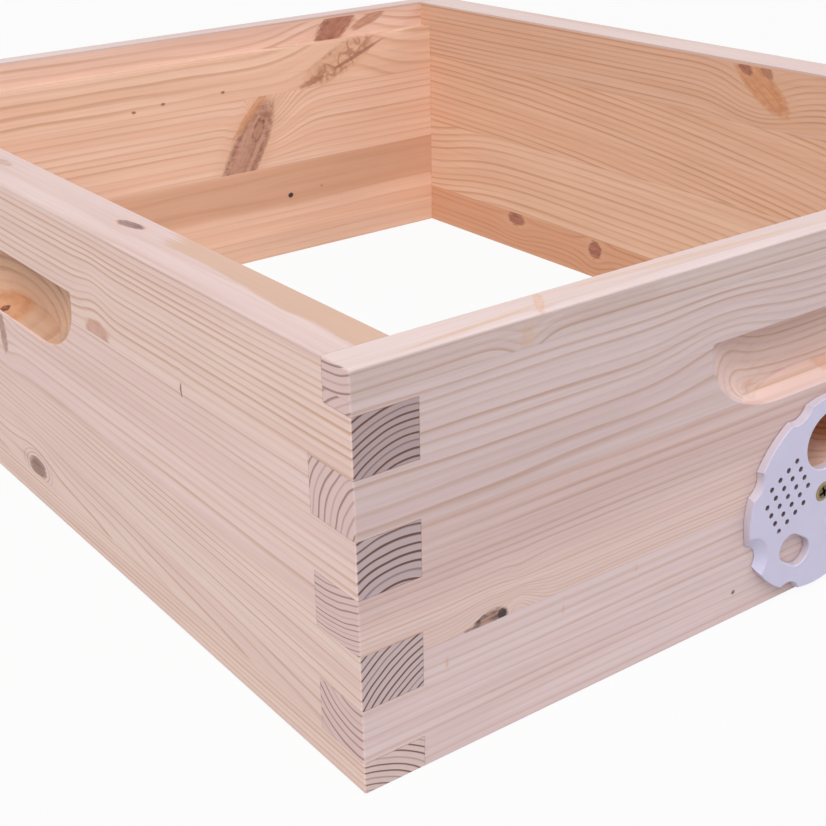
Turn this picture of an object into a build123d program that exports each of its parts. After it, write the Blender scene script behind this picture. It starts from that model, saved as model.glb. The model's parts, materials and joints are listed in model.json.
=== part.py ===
from build123d import *
from math import cos, pi, radians, sin
import os

# A shallow hive box. Four edge-glued pine walls meet in box joints, the two end
# walls carry the frames on rabbets, every wall has a scooped hand-hold, and a
# plastic disc turns on a screw over the entrance bore in the front wall.
# The front is at -Y, the left side wall at -X, and the box stands on Z = 0.

# Outside of the box
WIDTH = 425.0
LENGTH = 513.0
HEIGHT = 148.0
WALL = 24.0
EDGE_ROUND = 0.8

# Boards of each wall: the bottom and the top one, two equal ones share the rest
FRONT_BOTTOM_BOARD = 45.4
FRONT_TOP_BOARD = 10.0
LEFT_BOTTOM_BOARD = 14.2
LEFT_TOP_BOARD = 41.5
REAR_BOTTOM_BOARD = 14.2
REAR_TOP_BOARD = 41.5
RIGHT_BOTTOM_BOARD = 24.4
RIGHT_TOP_BOARD = 32.5

# Frame rests: rabbets along the inner top edge of both end walls
REST_WIDTH = 10.0
REST_DEPTH = 14.6

# Box joints: equal fingers between one beside the rabbet and a low one at the bottom
FINGER_COUNT = 6
BOTTOM_FINGER = 12.2
GLUE_GAP = 0.1

# Hand-holds: level ceiling, elliptic ends, scooped back, floor that sheds water
HOLD_BELOW_RIM = 30.0
HOLD_HEIGHT = 30.8
HOLD_SHOULDER = 4.0
HOLD_LENGTH = 129.0
HOLD_FLOOR_LENGTH = 56.0
HOLD_DEPTH = 12.0
HOLD_FLOOR_RISE = 4.2
HOLD_END_FULLNESS = 0.66
HOLD_END_SECTIONS = 5
CUTTER_OVERRUN = 2.0

# Entrance disc: a flat plate with rounded edges, turning in front of the bore
DISC_DIAMETER = 81.0
DISC_THICKNESS = 3.1
DISC_ABOVE_BOTTOM = 1.9
DISC_CLEARANCE = 0.3
DISC_RIM_ROUND = 0.35
DISC_HOLE_ROUND = 0.6

# Entrance bore and the full opening of the disc
ENTRANCE_BORE = 25.0
ENTRANCE_OFFSET = 22.0
OPENING_LIP = 0.5

# Notches round the rim, wider in front, and one dished far out for the thumb
NOTCH_COUNT = 8
NOTCH_FIRST_ANGLE = 25.0
NOTCH_RADIUS = 7.0
NOTCH_MOUTH = 7.6
NOTCH_CENTRE_OUTSIDE = 4.6
THUMB_NOTCH = 4
THUMB_RADIUS = 6.5
THUMB_MOUTH = 11.0
THUMB_CENTRE_OUTSIDE = 3.0

# Air holes: a square grid standing on its corner, without two of its corners
AIR_ANGLE = 167.4
AIR_FROM_RIM = 19.3
AIR_PITCH = 5.0
AIR_ROWS = 5
AIR_DIAMETER = 2.2

# Small passage, and slots that let workers through but not the queen
PASSAGE_ANGLE = 238.2
PASSAGE_FROM_RIM = 15.7
PASSAGE_LENGTH = 18.2
PASSAGE_WIDTH = 11.6
SLOT_ANGLE = 10.0
SLOT_FROM_RIM = 16.5
SLOT_COUNT = 3
SLOT_PITCH = 6.6
SLOT_LENGTH = 19.0
SLOT_WIDTH = 4.3

# Countersunk screw that the disc turns on
SCREW_HEAD = 8.0
SCREW_SHANK = 4.0
SCREW_LENGTH = 23.0
SCREW_POINT = 5.0
SCREW_CROWN = 0.5
SEAT_CLEARANCE = 0.15
RUNNING_CLEARANCE = 0.08
GRIP_CLEARANCE = 0.02
RECESS_LENGTH = 4.6
RECESS_WIDTH = 1.1
RECESS_DEPTH = 1.6
RECESS_ANGLE = 22.0

# Heights above the bottom edge that follow from these
HOLD_TOP = HEIGHT - HOLD_BELOW_RIM
HOLD_BOTTOM = HOLD_TOP - HOLD_HEIGHT
REST_LEVEL = HEIGHT - REST_DEPTH
DISC_AXIS_HEIGHT = DISC_ABOVE_BOTTOM + DISC_DIAMETER / 2
DISC_FRONT = DISC_CLEARANCE + DISC_THICKNESS
# Distances of the disc's openings from its axis
AIR_OFFSET = DISC_DIAMETER / 2 - AIR_FROM_RIM
PASSAGE_OFFSET = DISC_DIAMETER / 2 - PASSAGE_FROM_RIM
SLOT_OFFSET = DISC_DIAMETER / 2 - SLOT_FROM_RIM

os.makedirs("parts", exist_ok=True)


def face_plane(turn, reach):
    """Bottom middle of a wall's outer face: X along the wall, Y inwards, Z up."""
    along = Vector(1, 0, 0).rotate(Axis.Z, turn)
    inward = Vector(0, 1, 0).rotate(Axis.Z, turn)
    return Plane(origin=inward * -reach, x_dir=along, z_dir=(0, 0, 1))


def corner_fingers():
    """Heights of the fingers of the end walls and of the side walls."""
    finger = (REST_LEVEL - BOTTOM_FINGER) / FINGER_COUNT
    edges = [HEIGHT]
    for step in range(FINGER_COUNT + 1):
        edges.append(REST_LEVEL - step * finger)
    edges.append(0.0)
    spans = list(zip(edges[1:], edges))
    return spans[0::2], spans[1::2]


END_FINGERS, SIDE_FINGERS = corner_fingers()
RIM_FINGERS = END_FINGERS[:1]
LOW_END_FINGERS = END_FINGERS[1:]

# The glued box is sanded as a whole, which rounds its outer edges
with BuildPart() as sanded_box:
    with Locations((0, 0, HEIGHT / 2)):
        Box(WIDTH, LENGTH, HEIGHT)
    fillet(sanded_box.edges(), EDGE_ROUND)


def hold_sections():
    """Heights and half lengths of the hand-hold, from its ceiling down."""
    sections = [(HOLD_TOP, HOLD_LENGTH / 2)]
    drop = HOLD_HEIGHT - HOLD_SHOULDER
    run = (HOLD_LENGTH - HOLD_FLOOR_LENGTH) / 2
    for step in range(HOLD_END_SECTIONS + 1):
        turn = pi / 2 * step / HOLD_END_SECTIONS
        height = HOLD_TOP - HOLD_SHOULDER - drop * sin(turn)
        sections.append((height, HOLD_FLOOR_LENGTH / 2 + run * cos(turn)))
    return sections


def hand_hold(face):
    """The wood that a hand-hold takes out of a wall."""
    with BuildPart() as scoop:
        for height, half in hold_sections():
            with BuildSketch(face.offset(height)):
                with BuildLine():
                    shoulder = half * HOLD_END_FULLNESS
                    crown = HOLD_DEPTH * 4 / 3
                    Bezier((-half, 0), (-shoulder, crown), (shoulder, crown), (half, 0))
                    Polyline((half, 0), (half, -CUTTER_OVERRUN), (-half, -CUTTER_OVERRUN), (-half, 0))
                make_face()
        loft()
        floor_edge = face.offset(HOLD_BOTTOM).origin
        floor_normal = face.z_dir * HOLD_DEPTH - face.y_dir * HOLD_FLOOR_RISE
        split(bisect_by=Plane(floor_edge, x_dir=face.x_dir, z_dir=floor_normal), keep=Keep.TOP)
    return scoop.part


def cut_notches(span, fingers, depth):
    """Makes room at both ends of a wall for the fingers of its neighbours."""
    reach = depth + GLUE_GAP
    for low, high in fingers:
        for side in (-1, 1):
            with Locations((side * (span - reach) / 2, WALL / 2, (low + high) / 2)):
                Box(reach, WALL, high - low + 2 * GLUE_GAP, mode=Mode.SUBTRACT)


def end_wall(turn):
    """A front or rear wall: fingers at both ends and a frame rest inside."""
    face = face_plane(turn, LENGTH / 2)
    scoop = hand_hold(face)
    with BuildPart() as wall:
        with Locations(face):
            with Locations((0, WALL / 2, HEIGHT / 2)):
                Box(WIDTH, WALL, HEIGHT)
            cut_notches(WIDTH, SIDE_FINGERS, WALL)
            with Locations((0, WALL - REST_WIDTH / 2, HEIGHT - REST_DEPTH / 2)):
                Box(WIDTH, REST_WIDTH, REST_DEPTH, mode=Mode.SUBTRACT)
        add(scoop, mode=Mode.SUBTRACT)
        add(sanded_box.part, mode=Mode.INTERSECT)
    return wall.part


def side_wall(turn):
    """A long wall: its rim notches only take the thin fingers beside the rests."""
    face = face_plane(turn, WIDTH / 2)
    scoop = hand_hold(face)
    with BuildPart() as wall:
        with Locations(face):
            with Locations((0, WALL / 2, HEIGHT / 2)):
                Box(LENGTH, WALL, HEIGHT)
            cut_notches(LENGTH, RIM_FINGERS, WALL - REST_WIDTH)
            cut_notches(LENGTH, LOW_END_FINGERS, WALL)
        add(scoop, mode=Mode.SUBTRACT)
        add(sanded_box.part, mode=Mode.INTERSECT)
    return wall.part


def write_boards(wall, name, bottom_board, top_board):
    """Divides a wall at its glue lines and writes its four boards."""
    high_line = HEIGHT - top_board
    middle_line = (bottom_board + high_line) / 2
    spans = {
        "bottom": (0, bottom_board),
        "lower": (bottom_board, middle_line),
        "upper": (middle_line, high_line),
        "top": (high_line, HEIGHT),
    }
    for place, (low, high) in spans.items():
        with BuildPart() as board:
            add(wall)
            if low > 0:
                split(bisect_by=Plane.XY.offset(low), keep=Keep.TOP)
            if high < HEIGHT:
                split(bisect_by=Plane.XY.offset(high), keep=Keep.BOTTOM)
        board.part.label = f"{name}_{place}_board"
        export_step(board.part, f"parts/{name}_{place}_board.step")


# Disc axis: planes seen from the front, X to the right, Y up, Z outwards
front_face = Plane((0, -LENGTH / 2, DISC_AXIS_HEIGHT), x_dir=(1, 0, 0), z_dir=(0, -1, 0))
disc_back = front_face.offset(DISC_CLEARANCE)
disc_front = front_face.offset(DISC_FRONT)
turning_axis = Axis(front_face.origin, front_face.z_dir)
# Half section through that axis: X is the radius, Y the height above the wall
half_section = Plane(front_face.origin, x_dir=(1, 0, 0), z_dir=(0, 0, -1))

# Front wall, with the entrance bore and the hole that the screw bites into
front_solid = end_wall(0)
with BuildPart() as front_wall:
    add(front_solid)
    with BuildSketch(front_face):
        with Locations((0, ENTRANCE_OFFSET)):
            Circle(ENTRANCE_BORE / 2)
    extrude(amount=-WALL, mode=Mode.SUBTRACT)
    with BuildSketch(front_face):
        Circle(SCREW_SHANK / 2 + GRIP_CLEARANCE)
    extrude(amount=DISC_FRONT - SCREW_LENGTH, mode=Mode.SUBTRACT)

write_boards(front_wall.part, "front", FRONT_BOTTOM_BOARD, FRONT_TOP_BOARD)
write_boards(side_wall(90), "right", RIGHT_BOTTOM_BOARD, RIGHT_TOP_BOARD)
write_boards(end_wall(180), "rear", REAR_BOTTOM_BOARD, REAR_TOP_BOARD)
write_boards(side_wall(270), "left", LEFT_BOTTOM_BOARD, LEFT_TOP_BOARD)


def on_disc(angle, offset):
    """A place on the disc, by its angle from the right and distance from the axis."""
    return (offset * cos(radians(angle)), offset * sin(radians(angle)))


def air_holes():
    """Places of the air holes, row by row, on a grid turned by half a right angle."""
    middle = (AIR_ROWS - 1) / 2
    places = []
    for row in range(AIR_ROWS):
        for column in range(AIR_ROWS):
            if row + column in (0, 2 * (AIR_ROWS - 1)):
                continue
            outwards = (row + column) / 2 - middle
            sideways = (row - column) / 2
            x, y = on_disc(AIR_ANGLE, AIR_OFFSET + outwards * AIR_PITCH * 2 ** 0.5)
            dx, dy = on_disc(AIR_ANGLE + 90, sideways * AIR_PITCH * 2 ** 0.5)
            places.append((x + dx, y + dy))
    return places


# Entrance disc
with BuildPart() as entrance_disc:
    with BuildSketch(disc_back):
        Circle(DISC_DIAMETER / 2)
    extrude(amount=DISC_THICKNESS)
    from_back = (Align.CENTER, Align.CENTER, Align.MIN)
    with Locations(disc_back):
        for notch in range(NOTCH_COUNT):
            angle = NOTCH_FIRST_ANGLE + notch * 360 / NOTCH_COUNT
            base, mouth, outside = NOTCH_RADIUS, NOTCH_MOUTH, NOTCH_CENTRE_OUTSIDE
            if notch == THUMB_NOTCH:
                base, mouth, outside = THUMB_RADIUS, THUMB_MOUTH, THUMB_CENTRE_OUTSIDE
            with Locations(on_disc(angle, DISC_DIAMETER / 2 + outside)):
                Cone(base, mouth, DISC_THICKNESS, align=from_back, mode=Mode.SUBTRACT)
    rim_edges = entrance_disc.faces().sort_by(turning_axis)[-1].outer_wire().edges()
    fillet(rim_edges, DISC_RIM_ROUND)
    with BuildSketch(disc_back):
        with Locations((0, ENTRANCE_OFFSET)):
            Circle(ENTRANCE_BORE / 2 - OPENING_LIP)
        with Locations(on_disc(PASSAGE_ANGLE, PASSAGE_OFFSET)):
            SlotOverall(PASSAGE_LENGTH, PASSAGE_WIDTH, rotation=PASSAGE_ANGLE - 90)
        for step in range(SLOT_COUNT):
            aside = (step - (SLOT_COUNT - 1) / 2) * SLOT_PITCH
            with Locations(on_disc(SLOT_ANGLE, SLOT_OFFSET + aside)):
                SlotOverall(SLOT_LENGTH, SLOT_WIDTH, rotation=SLOT_ANGLE - 90)
    extrude(amount=DISC_THICKNESS, mode=Mode.SUBTRACT)
    front_of_disc = entrance_disc.faces().sort_by(turning_axis)[-1]
    hole_edges = [edge for wire in front_of_disc.inner_wires() for edge in wire.edges()]
    fillet(hole_edges, DISC_HOLE_ROUND)
    with BuildSketch(disc_back):
        with Locations(*air_holes()):
            Circle(AIR_DIAMETER / 2)
    extrude(amount=DISC_THICKNESS, mode=Mode.SUBTRACT)
    with Locations(disc_front):
        CounterSinkHole(
            SCREW_SHANK / 2 + RUNNING_CLEARANCE,
            SCREW_HEAD / 2 + SEAT_CLEARANCE,
            counter_sink_angle=90,
        )
entrance_disc.part.label = "entrance_disc"
export_step(entrance_disc.part, "parts/entrance_disc.step")

# Screw: flush head with a low crown, plain shank and point
with BuildPart() as disc_screw:
    crown_radius = (SCREW_HEAD ** 2 / 4 + SCREW_CROWN ** 2) / (2 * SCREW_CROWN)
    tip = DISC_FRONT - SCREW_LENGTH
    with BuildSketch(half_section):
        with BuildLine():
            Polyline(
                (0, DISC_FRONT + SCREW_CROWN),
                (0, tip),
                (SCREW_SHANK / 2, tip + SCREW_POINT),
                (SCREW_SHANK / 2, DISC_FRONT - (SCREW_HEAD - SCREW_SHANK) / 2),
                (SCREW_HEAD / 2, DISC_FRONT),
            )
            RadiusArc((SCREW_HEAD / 2, DISC_FRONT), (0, DISC_FRONT + SCREW_CROWN), -crown_radius)
        make_face()
    revolve(axis=turning_axis)
    with BuildSketch(disc_front.offset(SCREW_CROWN)):
        Rectangle(RECESS_LENGTH, RECESS_WIDTH, rotation=RECESS_ANGLE)
        Rectangle(RECESS_WIDTH, RECESS_LENGTH, rotation=RECESS_ANGLE)
    extrude(amount=-RECESS_DEPTH, mode=Mode.SUBTRACT)
disc_screw.part.label = "disc_screw"
export_step(disc_screw.part, "parts/disc_screw.step")
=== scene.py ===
# %% [markdown]
# # A shallow hive box, dressed
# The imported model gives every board, the disc and the screw at their real size,
# in metres. This lesson gives them their finish: bare sanded pine from sixteen
# pieces of log, a moulded plastic disc and a yellow screw. The shapes are right
# as they are, so the only new mesh is the floor, and the work is in materials.

# %% Load the frame
import bmesh
import bpy
import json
import math
from dataclasses import dataclass
from mathutils import Matrix, Vector


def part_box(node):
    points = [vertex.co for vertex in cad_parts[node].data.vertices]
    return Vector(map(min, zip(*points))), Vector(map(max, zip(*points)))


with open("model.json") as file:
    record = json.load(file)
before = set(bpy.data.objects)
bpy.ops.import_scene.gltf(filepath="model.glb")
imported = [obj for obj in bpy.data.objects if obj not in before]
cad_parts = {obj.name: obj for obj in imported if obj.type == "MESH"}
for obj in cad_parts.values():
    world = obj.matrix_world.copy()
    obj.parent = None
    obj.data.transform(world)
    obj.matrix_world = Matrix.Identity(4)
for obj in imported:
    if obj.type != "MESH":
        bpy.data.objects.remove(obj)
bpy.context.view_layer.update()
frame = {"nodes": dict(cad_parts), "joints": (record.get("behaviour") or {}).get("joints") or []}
nodes = frame["nodes"]

# %% [markdown]
# ## Measures that the finish needs
# Grain runs right through a board, so its pattern has to know where the walls
# stand. The numbers could be typed in, but a change of the box would then leave
# the grain behind. They are read from the frame instead: the outer faces and the
# rim. The shaders count in millimetres, because that is how wood is measured.

# %% Walls and rim
MM = 1000.0
wall_low, wall_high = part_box("left_upper_board")
HALF_WIDTH = -wall_low.x * MM
HALF_LENGTH = wall_high.y * MM
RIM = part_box("left_top_board")[1].z * MM
print("half width", HALF_WIDTH, "half length", HALF_LENGTH, "rim", RIM)

# %% [markdown]
# ## Sums in a node tree
# A grain pattern is mostly arithmetic, and dozens of Math nodes wired by hand
# are hard to read. Wrapping an output socket in a small class lets Python's own
# operators add those nodes, so that the pattern reads as a formula.

# %% A number that varies over a surface


class Field:
    """An output socket with arithmetic."""

    def __init__(self, finish, socket):
        self.finish = finish
        self.socket = socket

    def math(self, operation, *values):
        """Adds a Math node."""
        inputs = dict(enumerate(values))
        return self.finish.node("ShaderNodeMath", {"operation": operation}, inputs)

    def __add__(self, other):
        return self.math("ADD", self, other)

    def __radd__(self, other):
        return self.math("ADD", other, self)

    def __sub__(self, other):
        return self.math("SUBTRACT", self, other)

    def __rsub__(self, other):
        return self.math("SUBTRACT", other, self)

    def __mul__(self, other):
        return self.math("MULTIPLY", self, other)

    def __rmul__(self, other):
        return self.math("MULTIPLY", other, self)

    def __truediv__(self, other):
        return self.math("DIVIDE", self, other)

    def __pow__(self, other):
        return self.math("POWER", self, other)

    def __neg__(self):
        return self.math("MULTIPLY", self, -1.0)

    def sqrt(self):
        return self.math("SQRT", self)

    def exp(self):
        return self.math("EXPONENT", self)

    def abs(self):
        return self.math("ABSOLUTE", self)

    def fract(self):
        return self.math("FRACT", self)

    def floor(self):
        return self.math("FLOOR", self)

    def most(self, other):
        return self.math("MAXIMUM", self, other)

    def least(self, other):
        return self.math("MINIMUM", self, other)

    def rise(self, start, end):
        """0 below start, 1 above end, and a smooth step between them."""
        settings = {"interpolation_type": "SMOOTHSTEP"}
        inputs = {"Value": self, "From Min": start, "From Max": end}
        return self.finish.node("ShaderNodeMapRange", settings, inputs)


# %% [markdown]
# ## A material in the making
# Every surface here ends in one shader: Principled BSDF for wood, plastic, metal
# and floor, Background for the sky. The nodes in front of it could be made and
# linked line by line. One method that takes a node's kind, settings and inputs
# does that for all of them, and a few helpers name the common ones.

# %% Nodes by name
COLOUR_A, COLOUR_B, COLOUR_RESULT = 6, 7, 2


class Finish:
    """A material or sky with one shader, and helpers that add its nodes."""

    def __init__(self, owner, shader="Principled BSDF"):
        owner.use_nodes = True
        self.owner = owner
        self.tree = owner.node_tree
        self.shader = self.tree.nodes[shader]

    def node(self, kind, settings=None, inputs=None, output=0):
        """Adds a node, sets it, feeds its sockets and returns one output."""
        node = self.tree.nodes.new(kind)
        for name, value in (settings or {}).items():
            setattr(node, name, value)
        for name, value in (inputs or {}).items():
            self.feed(node.inputs[name], value)
        return Field(self, node.outputs[output])

    def feed(self, socket, value):
        """Links a field to a socket, or sets the socket to a plain value."""
        if isinstance(value, Field):
            self.tree.links.new(value.socket, socket)
        else:
            socket.default_value = value

    def set(self, **values):
        """Feeds the shader's own sockets, named with _ for a space."""
        for name, value in values.items():
            self.feed(self.shader.inputs[name.replace("_", " ")], value)

    def vector(self, x, y, z):
        """A vector from three numbers."""
        return self.node("ShaderNodeCombineXYZ", None, {"X": x, "Y": y, "Z": z})

    def parts(self, vector):
        """The three numbers of a vector."""
        return [self.node("ShaderNodeSeparateXYZ", None, {0: vector}, axis) for axis in "XYZ"]

    def scaled(self, vector, factor):
        """A colour or vector times a number."""
        settings = {"operation": "SCALE"}
        return self.node("ShaderNodeVectorMath", settings, {0: vector, "Scale": factor})

    def times(self, first, second):
        """A colour or vector times another, part by part."""
        return self.node("ShaderNodeVectorMath", {"operation": "MULTIPLY"}, {0: first, 1: second})

    def moved(self, vector, shift):
        """A vector plus another."""
        return self.node("ShaderNodeVectorMath", {"operation": "ADD"}, {0: vector, 1: shift})

    def mix(self, factor, first, second):
        """Goes from the first colour to the second."""
        inputs = {"Factor": factor, COLOUR_A: first, COLOUR_B: second}
        return self.node("ShaderNodeMix", {"data_type": "RGBA"}, inputs, COLOUR_RESULT)

    def noise(self, place, detail=2.0, roughness=0.5):
        """Cloudy noise round 0.5, with a cell of one unit."""
        inputs = {"Vector": place, "Scale": 1.0, "Detail": detail, "Roughness": roughness}
        return self.node("ShaderNodeTexNoise", None, inputs)

    def place(self):
        """The point on the object in millimetres, as a vector."""
        return self.scaled(self.node("ShaderNodeTexCoord", None, None, "Object"), MM)

    def facing(self):
        """The way that the surface faces, as three numbers."""
        return self.parts(self.node("ShaderNodeTexCoord", None, None, "Normal"))

    def bump(self, height, distance):
        """Lets light fall as if the surface rose by up to a distance in metres."""
        inputs = {"Height": height, "Distance": distance, "Strength": 1.0}
        self.set(Normal=self.node("ShaderNodeBump", None, inputs))

    def in_view(self):
        """1 for rays that come from the camera, from gloss or through glass."""
        seen = self.node("ShaderNodeLightPath", None, None, "Is Camera Ray")
        for ray in ("Is Glossy Ray", "Is Transmission Ray"):
            seen = seen.most(self.node("ShaderNodeLightPath", None, None, ray))
        return seen

    def paint(self, name):
        """Gives a node of the frame this material."""
        slots = nodes[name].data.materials
        slots.clear()
        slots.append(self.owner)


def new_finish(name):
    """A fresh material."""
    return Finish(bpy.data.materials.new(name))


# %% [markdown]
# ## Colours
# Colours are easiest to judge as they look on a screen, in numbers from 0 to
# 255. Shaders count light instead, where half the light is half the number, so
# each colour is turned into that form once, in Python, and costs no node.

# %% Screen colours as light


def linear(value):
    """One screen number, 0 to 255, as an amount of light, 0 to 1."""
    value = value / 255
    return value / 12.92 if value <= 0.04045 else ((value + 0.055) / 1.055) ** 2.4


def srgb(red, green, blue):
    """A screen colour in the form that shaders use."""
    return (linear(red), linear(green), linear(blue), 1.0)


def blend(first, second, share):
    """A colour between two others."""
    return tuple(a + (b - a) * share for a, b in zip(first, second))


print("screen grey 128 is", round(linear(128), 3), "of full light")

# %% [markdown]
# ## Pine: what a knot is
# A knot is a branch that the board was sawn across. The lines of the wood part
# around it, its middle is streaked, dark bark may ring it, and the wood beside
# it is orange. It could be painted on, but then the lines would run through it.
# So each knot is a row of numbers that moves the lines and colours the wood.

# %% Knot
REACH_ALONG = 2.5
REACH_ACROSS = 2.8


@dataclass
class Knot:
    """A branch, with lengths in millimetres and strengths from 0 to 1."""

    along: float  # its middle along the board
    height: float  # its middle above the floor, or its depth where it is on the rim
    half_long: float
    half_wide: float
    colours: tuple  # of its middle and of its bark
    lean: float = 0  # turn of its long side, in degrees
    reach: tuple = None  # how far along and across the lines feel it
    part: float = 0.8  # how strongly the lines part around it
    lift: float = 0  # how far the lines rise beside it
    side: tuple = None  # distances aside at which it starts to bend the lines, and fully does
    halo: float = 0.3  # strength of the orange wood round it
    rings: float = 0  # strength of the thin lines that circle it
    ragged: float = 1.0  # how far its outline frays along its streaks
    edge: float = 0.6  # strength of its bark ring
    streaks: float = 0.8  # how far its streaks go from the middle colour to the bark's
    veins: float = 0  # strength of the dark veins through it
    shown: float = 1  # 0 for one that was cut away, so that only the lines tell of it
    depths: tuple = None  # depths behind the outer face between which it shows
    deep: tuple = None  # depth of its middle and half size that way, if it ends in the wood
    rim: bool = False  # it stands upright and shows on the rim

    def __post_init__(self):
        self.reach = self.reach or (REACH_ALONG * self.half_long, REACH_ACROSS * self.half_wide)


# %% [markdown]
# ## Pine: what a board is
# A board is a slice of a log. Its lines are growth rings, cylinders round the
# pith, cut by the board's faces. Stripes drawn on each face would not meet at
# the edges. One formula for the distance from the pith draws the straight lines
# on the faces, the curves in the scooped hand-holds and the arcs on the ends of
# the fingers, so each board states where its pith lies and how wide its rings are.

# %% Board


@dataclass
class Board:
    """How a board was cut from its log, with lengths in millimetres."""

    pith: tuple  # height of the log's middle, and its depth behind the outer face
    ring: float  # width of a year's growth
    power: float = 1  # 1 for even rings, more where they get narrower outwards
    drift: tuple = (0, 0)  # change of the pith's height and depth per millimetre along
    bow: float = 0  # how the pith's height bends along the board, per square millimetre
    wander: float = 2  # how far the rings stray from true circles
    red: float = 0  # share of the redder heartwood
    heart: tuple = None  # distance from the pith where red and tint end, and its softness
    lines: float = 1  # darkness of the lines on the faces
    thin: float = 1  # more than 1 where the dark part of a year is a thin line
    end: tuple = ((1, 1, 1), 0.7)  # tint of its end grain, and darkness of the lines there
    warm: float = 0.35  # share of the warmer inner colour at the back of the hand-hold
    close: float = 0  # how the rings close up towards the back of the hand-hold
    burl: tuple = None  # along, height and depth of a branch that the hand-hold cuts open
    bore: tuple = None  # height and radius of the entrance bore, whose wall gets a painted shade
    rim_heart: tuple = None  # start of tan heartwood on the rim, its depth, slope and share
    tint: tuple = (1, 1, 1)  # its share of red, green and blue on the faces, partly its own tone and partly painted light
    rim_tint: tuple = (0.89, 0.93, 0.95)  # the same on the rim, a painted shade against the light from above
    knots: tuple = ()


# %% [markdown]
# ## Wood colours
# Bare pine is a pale pinkish cream. The late part of a year is tan, the wood in
# the middle of the log is redder, and end grain looks darker and greyer, since
# its open pores swallow light. The inside of the box is warmer and yellower than
# the outside, partly its own tone and partly painted bounce light from the walls
# inside. One brown for all knots would look stamped, so they have a palette of
# their own, each with a colour for its middle and one for its bark.

# %% Palette of the wood
PLAIN = (1.0, 1.0, 1.0, 1.0)
OUTER_EARLY = srgb(231, 206, 201)
OUTER_PINK = srgb(225, 195, 191)
OUTER_LATE = srgb(204, 166, 147)
# The inner colours are partly painted bounce light from the walls inside the box.
INNER_EARLY = srgb(248, 208, 184)
INNER_PINK = srgb(240, 192, 164)
INNER_LATE = srgb(222, 174, 144)
HEART_EARLY = srgb(220, 168, 136)
HEART_LATE = srgb(196, 138, 104)
END_EARLY = srgb(214, 190, 189)
END_LATE = srgb(106, 68, 56)
HALO = srgb(224, 178, 146)
RIM_TAN = srgb(216, 178, 156)
# Painted shade of the bore's wall, and of the lines in it
BORE_PAINTED_SHADE = srgb(188, 124, 86)
BORE_PAINTED_SHADE_LATE = srgb(134, 76, 48)
HOLD_TAN = srgb(220, 176, 144)
HOLD_LATE = srgb(176, 124, 92)

# %% Palette of the knots
BROWN = (srgb(196, 160, 148), srgb(166, 128, 116))
SLATE = (srgb(168, 134, 124), srgb(128, 98, 90))
DARK = (srgb(186, 148, 134), srgb(74, 54, 50))
BLACK = (srgb(60, 44, 40), srgb(44, 32, 30))
TAN = (srgb(214, 178, 146), srgb(198, 152, 116))
RUST = (srgb(208, 160, 140), srgb(178, 126, 102))
UMBER = (srgb(186, 128, 108), srgb(146, 92, 74))
LEAF = (srgb(204, 158, 138), srgb(134, 84, 66))
EYE = (srgb(200, 150, 128), srgb(120, 74, 58))
SHADOW = (srgb(164, 134, 130), srgb(112, 80, 76))
FLAME = (srgb(220, 158, 112), srgb(190, 122, 80))
VEINED = (srgb(226, 182, 152), srgb(172, 118, 90))
CORE = (srgb(168, 96, 62), srgb(70, 42, 34))
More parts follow.
